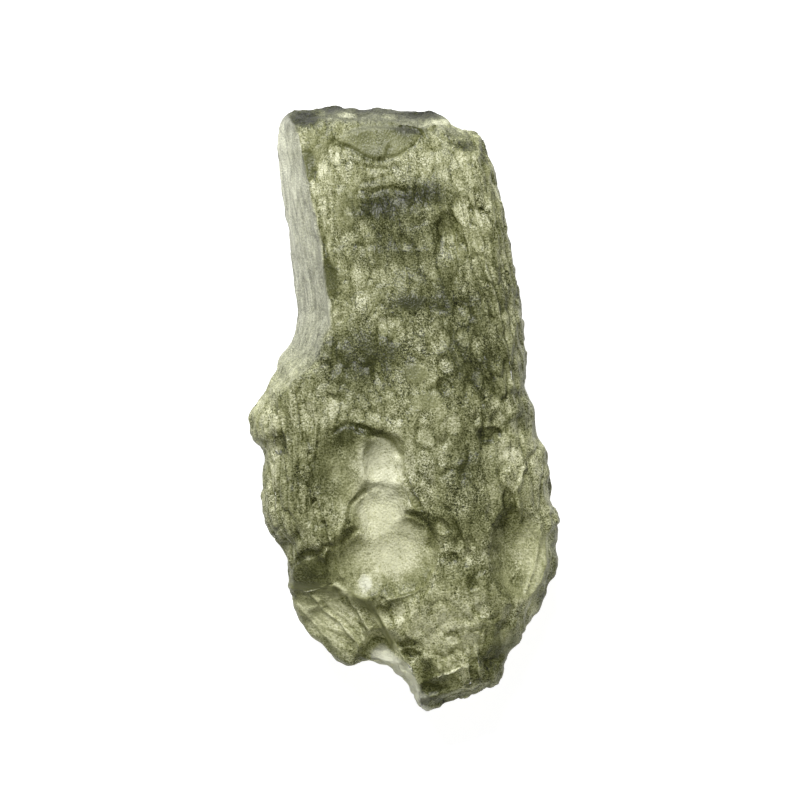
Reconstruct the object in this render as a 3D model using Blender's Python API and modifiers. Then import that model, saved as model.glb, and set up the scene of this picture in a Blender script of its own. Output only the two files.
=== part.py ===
"""A raw moldavite: one flat, elongated piece of natural green glass, lying on its flatter side.

Metres, +Z up. The stone's length runs along Y and its width along X. The origin is on the surface
that it lies on, under the middle of its box. Outlines are read in pixels of the photograph, in
which +X is to the right and the length runs from the foot of the picture to its head.
"""

import bmesh
import bpy
import numpy as np
from mathutils import Vector
from mathutils import noise

MM = 0.001
LENGTH = 40.3 * MM
THICKNESS = 7.6 * MM
REST_TRIM = 0.28 * MM

# The top face: its height over the neck, the swell of the body, and how far it falls away to the
# head, foot and right, each between two places in pixels.
TOP_HEIGHT = 6.35 * MM
SWELL = 1.1 * MM
SWELL_MIDDLE_PX = (385, 455)
SWELL_SPREAD_PX = (120, 130)
HEAD_FALL = 0.9 * MM
HEAD_FALL_PX = (230, 110)
FOOT_FALL = 1.5 * MM
FOOT_FALL_PX = (590, 705)
RIGHT_FALL = 1.3 * MM
RIGHT_FALL_PX = (470, 560)

# The underside's keel, and how high the rim lies.
KEEL_RISE = 1.75 * MM
KEEL_MIDDLE_PX = (397, 425)
KEEL_SPREAD_PX = (150, 300)
RIM_HEIGHT = 3.1 * MM
RIM_DROP = 1.9 * MM
RIM_DROP_LEFT_PX = (335, 305)
RIM_DROP_LEFT_END_PX = (450, 405)
RIM_DROP_HEAD_PX = (150, 125)

# How widely the rim is rounded over, and the slow unevenness of both faces.
TOP_ROUNDING = 1.7 * MM
BODY_ROUNDING = 0.7 * MM
BODY_PX = (380, 470)
UNDER_ROUNDING = 2.0 * MM
RIM_EDGE_SHARE = 0.2
RIPPLE = 0.22 * MM
RIPPLES_PER_METRE = 230.0

# The nets of faces that the shape is worked in, and the share that is kept at the end.
PLATE_NET = 0.3 * MM
FINE_NET = 0.22 * MM
KEPT_SHARE = 0.09

RIM_PX = [
    (277.6, 131), (281, 121), (285, 116.5), (289, 112), (295, 108.5), (304, 108), (312, 109.5), (328, 104.5),
    (336, 105.4), (345, 108.5), (362, 110.3), (390, 108.3), (401, 112), (424, 110),
    (438, 113.4), (447, 120), (460, 129.4), (478, 137.3), (488.5, 148), (493, 157), (497, 182),
    (502.5, 200), (507, 225), (512, 247), (516.5, 279), (522, 296), (523, 312), (528, 364),
    (525.5, 375), (527.5, 394), (533, 402), (536.3, 411), (535.2, 430), (538, 438),
    (547, 450.5), (551, 482), (552, 503), (558, 519), (557.5, 533), (554.8, 542), (558, 559),
    (556.5, 571), (546.5, 593), (543.5, 603), (531.5, 619), (528, 627), (520, 640.5),
    (511.7, 646.7), (507.5, 655), (502.3, 676.5), (499, 684), (492, 688.5), (468.5, 694),
    (457, 699.3), (440, 706.8), (426, 710), (421.5, 707), (412.5, 697.5), (410.5, 688.5),
    (402, 679), (391.5, 667.5), (384, 663), (371, 662), (360, 663), (349, 669), (337, 663),
    (326, 646.5), (318, 639.5), (310, 635.5), (300, 620), (290, 597.5), (286.3, 588),
    (289.8, 575.3), (288, 565), (281.5, 546), (272.5, 537.5), (267.5, 525.5), (261.4, 500),
    (260.4, 475), (263.5, 456), (263.8, 449), (251.2, 440), (249.5, 426), (246.7, 416.5),
    (257.5, 400.5), (267.3, 382.3), (274, 373), (275.6, 363), (281.5, 353), (286, 350),
    (292, 339.5), (297.5, 319.5), (299.5, 311), (297, 293), (292.5, 261), (288.5, 226),
    (284.2, 216), (283, 200), (278.3, 169.5), (276.7, 150),
]
RIM_WIDE_PX = [px for px, py in RIM_PX]
RIM_LONG_PX = [py for px, py in RIM_PX]
MID_PX = ((min(RIM_WIDE_PX) + max(RIM_WIDE_PX)) / 2, (min(RIM_LONG_PX) + max(RIM_LONG_PX)) / 2)
PX = LENGTH / (max(RIM_LONG_PX) - min(RIM_LONG_PX))

# The long fracture down the left of the neck: its foot on the rim, and its ridge on the top face.
LEFT_BREAK_PX = [
    ((266, 112), (293, 118)), ((269, 150), (302, 150)), ((272, 170), (308, 172)),
    ((276, 200), (311, 200)), ((281, 226), (317, 226)), ((286, 261), (323.5, 260)),
    ((291, 293), (328, 292)), ((294, 311), (330.5, 313)), ((292, 320), (328, 328)),
    ((287, 338), (321, 348)), ((277, 352), (311, 368)), ((270, 372), (290, 384)),
    ((257, 400), (266, 403)), ((246, 417), (249, 421)),
]
HEAD_BREAK_PX = [
    ((262, 122), (278, 126)), ((282, 106), (293, 120)), ((304, 101), (312, 123)),
    ((330, 100), (335, 122)), ((362, 104.5), (363, 124)), ((390, 103), (391, 123)),
    ((412, 105.5), (410, 128)), ((426, 104.5), (428, 129)), ((442, 109), (438, 127)),
    ((450, 115), (444, 130)),
]
SHOULDER_BREAK_PX = [
    ((438, 110), (434, 124)), ((448, 119), (441, 128)), ((461, 128), (453, 141)),
    ((479, 136), (468, 153)), ((490, 147), (479, 160)), ((494.5, 157), (485, 172)),
    ((498.5, 182), (492, 186)),
]
RIGHT_BREAK_PX = [
    ((567, 500), (557, 505)), ((565, 519), (552, 521)), ((564, 545), (547, 545)),
    ((564, 572), (544, 574)), ((554, 597), (537, 590)), ((538, 625), (525, 611)),
    ((527, 644), (519, 634)),
]
FOOT_BREAK_PX = [
    ((507, 678), (499, 672)), ((493, 691), (488, 680)), ((469, 696), (465, 684)),
    ((441, 709), (436, 694)), ((425, 713), (423, 699)), ((417, 706), (419, 694)),
    ((408, 690), (414, 686)),
]

FLAP_BREAK_PX = [
    ((276, 566), (293, 582)), ((276, 592), (322, 580)), ((289, 624), (350, 584)),
    ((304, 646), (372, 602)), ((323, 665), (385, 626)), ((345, 681), (393, 643)),
]

# Hollows etched into the top face: middle in pixels, half widths in pixels, depth in millimetres.
HOLLOWS = [
    ((368, 505), (50, 82), 0.9),
    ((376, 462), (28, 31), 1.5),
    ((344, 472), (25, 37), 1.1),
    ((381, 508), (29, 27), 1.9),
    ((402, 554), (36, 44), 1.8),
    ((358, 556), (28, 34), 1.5),
    ((526, 548), (32, 42), 1.0),
    ((378, 126), (48, 40), 0.5),
    ((380, 650), (26, 24), 1.7),
    ((312, 564), (30, 20), 0.8),
    ((448, 235), (17, 24), 0.35),
    ((410, 655), (17, 14), 0.5),
    ((432, 690), (22, 14), 0.6),
]


def place(px, py, height=0.0):
    """The point of the stone's frame that a pixel of the photograph shows, at a height."""
    return Vector(((px - MID_PX[0]) * PX, (MID_PX[1] - py) * PX, height))


def step(value, low, high):
    """0 below low, 1 above high, and a smooth rise between them, with low and high in any order."""
    share = np.clip((value - low) / (high - low), 0.0, 1.0)
    return share * share * (3.0 - 2.0 * share)


def evaluated_mesh(obj):
    graph = bpy.context.evaluated_depsgraph_get()
    return bpy.data.meshes.new_from_object(obj.evaluated_get(graph))


def slab(collection):
    """The rim's outline as a plate of the stone's thickness, in an even net of small faces."""
    curve = bpy.data.curves.new("rim_outline", "CURVE")
    curve.dimensions = "2D"
    curve.fill_mode = "BOTH"
    curve.extrude = THICKNESS / 2
    spline = curve.splines.new("POLY")
    spline.points.add(len(RIM_PX) - 1)
    for point, (px, py) in zip(spline.points, RIM_PX):
        point.co = (*place(px, py), 1.0)
    spline.use_cyclic_u = True
    outline = bpy.data.objects.new("rim_outline", curve)
    collection.objects.link(outline)
    plate = evaluated_mesh(outline)
    bpy.data.objects.remove(outline)
    bm = bmesh.new()
    bm.from_mesh(plate)
    bmesh.ops.remove_doubles(bm, verts=bm.verts, dist=0.001 * MM)
    bm.to_mesh(plate)
    bm.free()
    stone = bpy.data.objects.new("moldavite", plate)
    collection.objects.link(stone)
    net = stone.modifiers.new("even_net", "REMESH")
    net.mode = "VOXEL"
    net.voxel_size = PLATE_NET
    stone.data = evaluated_mesh(stone)
    stone.modifiers.remove(stone.modifiers["even_net"])
    return stone


def distance_to_rim(points):
    """How far each point of the plan lies from the rim's outline."""
    rim = np.array([place(px, py)[:2] for px, py in RIM_PX])
    nearest = np.full(len(points), np.inf)
    for start, end in zip(rim, np.roll(rim, -1, axis=0)):
        run = end - start
        share = np.clip((points - start) @ run / (run @ run), 0.0, 1.0)
        off = points - start - share[:, None] * run
        nearest = np.minimum(nearest, np.hypot(off[:, 0], off[:, 1]))
    return nearest


def top_height(px, py):
    """The top face: a low swell across the body, which falls away to the head, foot and right."""
    across = (px - SWELL_MIDDLE_PX[0]) / SWELL_SPREAD_PX[0]
    along = (py - SWELL_MIDDLE_PX[1]) / SWELL_SPREAD_PX[1]
    swell = SWELL * np.exp(-(across ** 2) - along ** 2)
    head = HEAD_FALL * step(py, *HEAD_FALL_PX)
    foot = FOOT_FALL * step(py, *FOOT_FALL_PX)
    right = RIGHT_FALL * step(px, *RIGHT_FALL_PX)
    return TOP_HEIGHT + swell - head - foot - right


def under_height(px, py):
    """The underside: a shallow keel, lowest under the stone's middle."""
    across = (px - KEEL_MIDDLE_PX[0]) / KEEL_SPREAD_PX[0]
    along = (py - KEEL_MIDDLE_PX[1]) / KEEL_SPREAD_PX[1]
    return KEEL_RISE * (across ** 2 + along ** 2) - REST_TRIM


def rim_height(px, py):
    """The height of the rim: half way up the stone, but low under the long fracture and the head."""
    left = step(px, *RIM_DROP_LEFT_PX) * step(py, *RIM_DROP_LEFT_END_PX)
    head = step(py, *RIM_DROP_HEAD_PX)
    return RIM_HEIGHT - RIM_DROP * np.maximum(left, head)


def crown(stone):
    """Rounds the plate's edges and gives its two faces their own heights."""
    count = len(stone.data.vertices)
    points = np.empty(count * 3)
    stone.data.vertices.foreach_get("co", points)
    points = points.reshape(-1, 3)
    px = points[:, 0] / PX + MID_PX[0]
    py = MID_PX[1] - points[:, 1] / PX
    inward = distance_to_rim(points[:, :2])
    ripple = np.array([noise.noise(Vector(p) * RIPPLES_PER_METRE) for p in points * (1, 1, 0.2)])
    rim = rim_height(px, py)
    for above in (True, False):
        half = points[:, 2] > 0 if above else points[:, 2] <= 0
        radius = TOP_ROUNDING + BODY_ROUNDING * step(py, *BODY_PX) if above else UNDER_ROUNDING
        face = top_height(px, py) if above else under_height(px, py)
        face = face + RIPPLE * ripple
        share = np.clip(inward / radius, 0.0, 1.0)
        arch = RIM_EDGE_SHARE + (1.0 - RIM_EDGE_SHARE) * np.sqrt(1.0 - (1.0 - share) ** 2)
        height = rim + np.abs(points[:, 2]) / (THICKNESS / 2) * arch * (face - rim)
        points[half, 2] = height[half]
    stone.data.vertices.foreach_set("co", points.ravel())
    stone.data.update()


def fracture_cutter(name, pairs_px, away, foot_height, ridge_height, collection):
    """A cutter whose sloping wall runs from a foot on the rim to a ridge on the top face."""
    reach = (THICKNESS + 2 * MM - foot_height) / (ridge_height - foot_height)
    clear = Vector((*away, 0)).normalized() * 6 * MM
    bm = bmesh.new()
    foot, ridge, under, over = [], [], [], []
    for (foot_px, ridge_px) in pairs_px:
        low = place(*foot_px, foot_height)
        high = low + (place(*ridge_px, ridge_height) - low) * reach
        foot.append(bm.verts.new(low))
        ridge.append(bm.verts.new(high))
        under.append(bm.verts.new(low + clear))
        over.append(bm.verts.new(place(*foot_px, high.z) + clear))
    rows = (foot, ridge, over, under)
    for row, beside in zip(rows, rows[1:] + rows[:1]):
        for a, b, c, d in zip(row, row[1:], beside[1:], beside):
            bm.faces.new((a, b, c, d))
    for end in (0, -1):
        bm.faces.new([row[end] for row in rows])
    bmesh.ops.recalc_face_normals(bm, faces=bm.faces)
    return cutter_object(name, bm, collection)


def hollow_cutter(name, middle_px, half_px, depth, collection):
    """An ellipsoid that dips into the top face to the hollow's depth and half widths."""
    middle = place(*middle_px)
    face = float(top_height(np.array(middle_px[0]), np.array(middle_px[1])))
    tall = 2.0 * depth
    spread = 1.0 / (1.0 - (1.0 - depth / tall) ** 2) ** 0.5
    bm = bmesh.new()
    bmesh.ops.create_icosphere(bm, subdivisions=3, radius=1.0)
    size = Vector((half_px[0] * PX * spread, half_px[1] * PX * spread, tall))
    bmesh.ops.scale(bm, verts=bm.verts, vec=size)
    bmesh.ops.translate(bm, verts=bm.verts, vec=(middle.x, middle.y, face - depth + tall))
    return cutter_object(name, bm, collection)


def ground_cutter(collection):
    """The block that trims the keel flat, where the stone lies."""
    bm = bmesh.new()
    bmesh.ops.create_cube(bm, size=1.0)
    bmesh.ops.scale(bm, verts=bm.verts, vec=(2 * LENGTH, 2 * LENGTH, THICKNESS))
    bmesh.ops.translate(bm, verts=bm.verts, vec=(0, 0, -THICKNESS / 2))
    return cutter_object("ground", bm, collection)


def cutter_object(name, bm, collection):
    mesh = bpy.data.meshes.new(name)
    bm.to_mesh(mesh)
    bm.free()
    cutter = bpy.data.objects.new(name, mesh)
    cutter.hide_render = True
    cutter.display_type = "WIRE"
    collection.objects.link(cutter)
    return cutter


def cut(stone, cutter):
    boolean = stone.modifiers.new("cut_" + cutter.name, "BOOLEAN")
    boolean.solver = "MANIFOLD"
    boolean.operation = "DIFFERENCE"
    boolean.object = cutter


def glass():
    """Olive green natural glass with an etched, matt skin."""
    material = bpy.data.materials.new("moldavite_glass")
    material.use_nodes = True
    shader = material.node_tree.nodes["Principled BSDF"]
    shader.inputs["Base Color"].default_value = (0.36, 0.38, 0.2, 1.0)
    shader.inputs["Roughness"].default_value = 0.35
    shader.inputs["Metallic"].default_value = 0.0
    shader.inputs["Transmission Weight"].default_value = 0.9
    shader.inputs["IOR"].default_value = 1.49
    return material


def moldavite(collection, cutters):
    stone = slab(collection)
    crown(stone)
    cut(stone, fracture_cutter("left_break", LEFT_BREAK_PX, (-1, 0), 0.9 * MM, 6.2 * MM, cutters))
    cut(stone, fracture_cutter("head_break", HEAD_BREAK_PX, (0, 1), 0.9 * MM, 5.4 * MM, cutters))
    cut(stone, fracture_cutter("shoulder_break", SHOULDER_BREAK_PX, (1, 1), 1.9 * MM, 5.6 * MM, cutters))
    cut(stone, fracture_cutter("right_break", RIGHT_BREAK_PX, (1, 0), 2.0 * MM, 4.6 * MM, cutters))
    cut(stone, fracture_cutter("flap_break", FLAP_BREAK_PX, (-1, -1), 3.7 * MM, 5.5 * MM, cutters))
    cut(stone, fracture_cutter("foot_break", FOOT_BREAK_PX, (0, -1), 2.0 * MM, 4.8 * MM, cutters))
    for number, (middle_px, half_px, depth) in enumerate(HOLLOWS, 1):
        cut(stone, hollow_cutter(f"hollow_{number}", middle_px, half_px, depth * MM, cutters))
    net = stone.modifiers.new("fine_net", "REMESH")
    net.mode = "VOXEL"
    net.voxel_size = FINE_NET
    soften = stone.modifiers.new("soften", "SMOOTH")
    soften.factor = 0.5
    soften.iterations = 2
    thin = stone.modifiers.new("thin_out", "DECIMATE")
    thin.ratio = KEPT_SHARE
    cut(stone, ground_cutter(cutters))
    stone.data.materials.append(glass())
    stone.data.shade_smooth()
    return stone


for old in list(bpy.data.objects):
    bpy.data.objects.remove(old)
stone_collection = bpy.data.collections.new("Moldavite")
cutter_collection = bpy.data.collections.new("Cutters")
cutter_collection.hide_render = True
bpy.context.scene.collection.children.link(stone_collection)
bpy.context.scene.collection.children.link(cutter_collection)
moldavite(stone_collection, cutter_collection)
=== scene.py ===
import itertools

import bmesh
import bpy
import numpy as np
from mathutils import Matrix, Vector


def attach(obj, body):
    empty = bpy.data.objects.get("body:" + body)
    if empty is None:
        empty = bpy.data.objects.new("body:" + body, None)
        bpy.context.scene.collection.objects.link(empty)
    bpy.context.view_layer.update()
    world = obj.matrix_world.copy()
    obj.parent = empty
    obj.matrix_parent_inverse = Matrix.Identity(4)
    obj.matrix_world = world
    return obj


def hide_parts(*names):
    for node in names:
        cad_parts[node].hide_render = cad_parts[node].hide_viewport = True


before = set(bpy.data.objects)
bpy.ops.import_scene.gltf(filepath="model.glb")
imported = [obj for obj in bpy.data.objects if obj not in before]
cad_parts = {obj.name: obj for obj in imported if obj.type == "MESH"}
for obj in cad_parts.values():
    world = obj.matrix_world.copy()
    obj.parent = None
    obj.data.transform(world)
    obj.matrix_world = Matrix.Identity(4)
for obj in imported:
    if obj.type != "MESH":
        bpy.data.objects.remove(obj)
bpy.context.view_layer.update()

# The stone's skin. A raw moldavite is one piece of natural glass, so its whole outside is one
# closed skin. This copy of the solid gets an even net, fine enough to carve the etching into.
MM = 0.001
STONE_LENGTH = 40.3 * MM
STONE_LENGTH_PX = 605.0
STONE_MIDDLE_PX = (402.35, 407.5)
PX = STONE_LENGTH / STONE_LENGTH_PX
NET = 0.12 * MM
SAME_POINT = 0.0005 * MM
SOFTENING_PASSES = 3
FLAT_SPOT_TOP = 0.03 * MM
UPPER_FROM = 2.0 * MM
# the upward part of the skin's normal: the least on the upper face, and from where to where the
# flank sets in
UPPER_FACING = -0.2
FLANK_FACING = (0.9, 0.55)


def fine_skin(node):
    """A copy of the solid with an even net of small faces."""
    skin = bmesh.new()
    skin.from_mesh(node.data)
    bmesh.ops.remove_doubles(skin, verts=skin.verts, dist=SAME_POINT)
    mesh = bpy.data.meshes.new("raw_moldavite")
    skin.to_mesh(mesh)
    skin.free()
    mesh.materials.clear()
    piece = bpy.data.objects.new("raw_moldavite", mesh)
    bpy.context.scene.collection.objects.link(piece)
    net = piece.modifiers.new("net", "REMESH")
    net.mode = "VOXEL"
    net.voxel_size = NET
    soften = piece.modifiers.new("soften", "SMOOTH")
    soften.factor = 0.5
    soften.iterations = SOFTENING_PASSES
    settle(piece)
    return piece


def settle(piece):
    """Turns the piece's modifiers into its mesh."""
    graph = bpy.context.evaluated_depsgraph_get()
    shaped = bpy.data.meshes.new_from_object(piece.evaluated_get(graph))
    piece.modifiers.clear()
    piece.data = shaped


def read_vertices(mesh, what):
    """The places or normals of a mesh's points, as rows of three numbers."""
    numbers = np.empty(len(mesh.vertices) * 3)
    mesh.vertices.foreach_get(what, numbers)
    return numbers.reshape(-1, 3)


def write_points(mesh, points):
    mesh.vertices.foreach_set("co", points.ravel())
    mesh.update()


def smooth_step(value, low, high):
    """0 up to the first limit and 1 from the second, with an even curve between."""
    share = np.clip((value - low) / (high - low), 0.0, 1.0)
    return share * share * (3.0 - 2.0 * share)


def picture_places(points):
    """Where each point of the stone lies in the photograph, in pixels."""
    across = points[:, 0] / PX + STONE_MIDDLE_PX[0]
    down = STONE_MIDDLE_PX[1] - points[:, 1] / PX
    return across, down


def soft_spot(middle, halves):
    """1 at a spot's middle, fading evenly away."""
    away = ((across - middle[0]) / halves[0]) ** 2 + ((down - middle[1]) / halves[1]) ** 2
    return np.exp(-away)


RIM_SWELLS = [
    # middle, then half widths across and along in px, then how far the rim moves out, in mm
    ((468, 694), (14, 14), 0.35), ((472, 138), (14, 14), 0.3), ((556, 518), (12, 12), 0.25),
    ((292, 270), (20, 80), 0.2), ((280, 355), (16, 12), 0.15), ((266, 520), (14, 26), 0.2),
    ((428, 706), (16, 10), 0.35), ((497, 684), (8, 12), 0.3), ((400, 108), (60, 12), 0.2),
    ((404, 685), (12, 22), 0.1), ((556, 560), (12, 16), 0.2), ((536, 605), (14, 20), 0.15),
]


def swell_rim():
    """Moves the rim out sideways where the stone is a little wider than the solid."""
    for middle, halves, move in RIM_SWELLS:
        points[:, :2] += normals[:, :2] * (move * MM * soft_spot(middle, halves))[:, None]


stone = fine_skin(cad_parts["moldavite"])
points = read_vertices(stone.data, "co")
normals = read_vertices(stone.data, "normal")
across, down = picture_places(points)
swell_rim()
across, down = picture_places(points)
flat_spot = points[:, 2] < FLAT_SPOT_TOP
upper = (points[:, 2] > UPPER_FROM) & (normals[:, 2] > UPPER_FACING)
flank = smooth_step(normals[:, 2], *FLANK_FACING)

# The etched hollows. Acid in the ground ate bowls into the upper face. Each is a smooth cup with a
# sharp lip, and where cups meet they leave a thin ridge between them.
HOLLOWS = [
    # middle, then half widths to the left, right, head and foot in px, then depth in mm
    ((384, 459), (25, 23, 28, 34), 0.95),
    ((344, 472), (30, 30, 46, 46), 0.55),
    ((380, 508), (30, 29, 36, 46), 1.05),
    ((406, 549), (48, 31, 39, 54), 1.2),
    ((360, 560), (29, 34, 32, 42), 1.0),
    ((524, 552), (34, 27, 34, 50), 0.9),
    ((503, 640), (13, 14, 18, 24), 0.5),
    ((304, 574), (14, 12, 18, 60), 0.9),
    ((319, 570), (13, 12, 19, 60), 0.9),
    ((332, 565), (9, 11, 21, 60), 0.9),
    ((366, 128), (40, 26, 60, 35), 0.16),
    ((404, 126), (24, 22, 60, 32), 0.14),
]
# a hollow of this depth in mm or more is a bowl, and a lip is rounded over by a share of the depth
BOWL_DEPTH = 0.5
BOWL_LIP = 0.12
SHALLOW_LIP = 0.05
# in parts of an oval's half widths: how far out a cup is cut, and from where to where a bowl counts
CUP_REACH = 1.4
BOWL_EDGE = (1.05, 0.8)
FILLS = [
    # what is first filled up to the uncut face: middle, then the four half widths in px
    ((374, 512), (60, 62, 92, 92)),
    ((384, 147), (50, 42, 18, 24)),
]
FILL_EDGE = (1.1, 0.85)
# the uncut face in mm, with a swell, then how far it falls in mm and from where to where in px
FACE_HEIGHT = 6.35
FACE_SWELL = 1.1
FACE_SWELL_PX = ((385, 455), (120, 130))
HEAD_FALL = (0.9, 230, 110)
FOOT_FALL = (1.5, 590, 705)
RIGHT_FALL = (1.3, 470, 560)
# the slope above the broken flap: its height in mm, its fall in mm to each px down, how far that runs
# up and down from its middle in px, and its own falls to the sides
FLAP_HEIGHT = 5.95
FLAP_FALL = 0.033
FLAP_MIDDLE_PX = 570.0
FLAP_RUN_PX = (-60.0, 34.0)
FLAP_RIGHT_RISE = (1.2, 330, 365)
FLAP_LEFT_FALL = (0.6, 322, 290)
FLAP_RIGHT_PX = 365
FLAP_TOP_PX = 540
FLAP_FLOOR = 3.0 * MM
FLAP_CREST_OVAL_PX = ((318, 588), (40, 40, 14, 14))
CREST_PASSES = 60


def ramp(place, slope):
    """A rise from 0 to a height between two places."""
    height, start, end = slope
    return height * smooth_step(place, start, end)


def reach(middle, halves):
    """How far out each point lies from an oval's middle: 1 on its edge."""
    left, right, head, foot = halves
    side = (across - middle[0]) / np.where(across < middle[0], left, right)
    along = (down - middle[1]) / np.where(down < middle[1], head, foot)
    return np.hypot(side, along)


def uncut_face():
    """The top face before it was etched: a low swell that falls away to the head, foot and right."""
    swell = FACE_SWELL * soft_spot(*FACE_SWELL_PX)
    head = ramp(down, HEAD_FALL)
    foot = ramp(down, FOOT_FALL)
    right = ramp(across, RIGHT_FALL)
    return (FACE_HEIGHT + swell - head - foot - right) * MM


def flap_slope():
    """The slope that the small left hollows run out on, down to the broken flap."""
    fall = FLAP_FALL * np.clip(down - FLAP_MIDDLE_PX, *FLAP_RUN_PX)
    slope = FLAP_HEIGHT - fall + ramp(across, FLAP_RIGHT_RISE) - ramp(across, FLAP_LEFT_FALL)
    return np.where((across < FLAP_RIGHT_PX) & (down > FLAP_TOP_PX), slope, np.inf) * MM


def carve_hollows():
    """Cuts the hollows and returns how far each point is inside one of the big bowls, from 0 to 1."""
    face = uncut_face()
    for middle, halves in FILLS:
        share = smooth_step(reach(middle, halves), *FILL_EDGE) * upper
        points[:, 2] += share * np.maximum(face - points[:, 2], 0.0)
    inside = np.zeros(len(points))
    for middle, halves, depth in HOLLOWS:
        out = reach(middle, halves)
        cut = upper & (out < CUP_REACH)
        cup = (face - depth * (1.0 - out ** 3) * MM)[cut]
        rounding = (BOWL_LIP if depth >= BOWL_DEPTH else SHALLOW_LIP) * depth * MM
        deeper = np.minimum(points[cut, 2], cup)
        gap = np.abs(points[cut, 2] - cup)
        points[cut, 2] = deeper - rounding * np.log1p(np.exp(-gap / rounding))
        if depth >= BOWL_DEPTH:
            inside = np.maximum(inside, smooth_step(out, *BOWL_EDGE))
    high = points[:, 2] > FLAP_FLOOR
    points[high, 2] = np.minimum(points[:, 2], flap_slope())[high]
    return inside * upper


def ease_crest(piece, on_crest):
    """Rounds over the line where the small left hollows run out onto the broken flap."""
    skin = bmesh.new()
    skin.from_mesh(piece.data)
    near = [vertex for vertex, eased in zip(skin.verts, on_crest) if eased]
    for _ in range(CREST_PASSES):
        bmesh.ops.smooth_vert(skin, verts=near, factor=0.5, use_axis_x=True, use_axis_y=True, use_axis_z=True)
    skin.to_mesh(piece.data)
    skin.free()


bowls = carve_hollows()
flap_crest = (reach(*FLAP_CREST_OVAL_PX) < 1.0) & (points[:, 2] > FLAP_FLOOR)
write_points(stone.data, points)
ease_crest(stone, flap_crest)
points = read_vertices(stone.data, "co")
across, down = picture_places(points)

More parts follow.
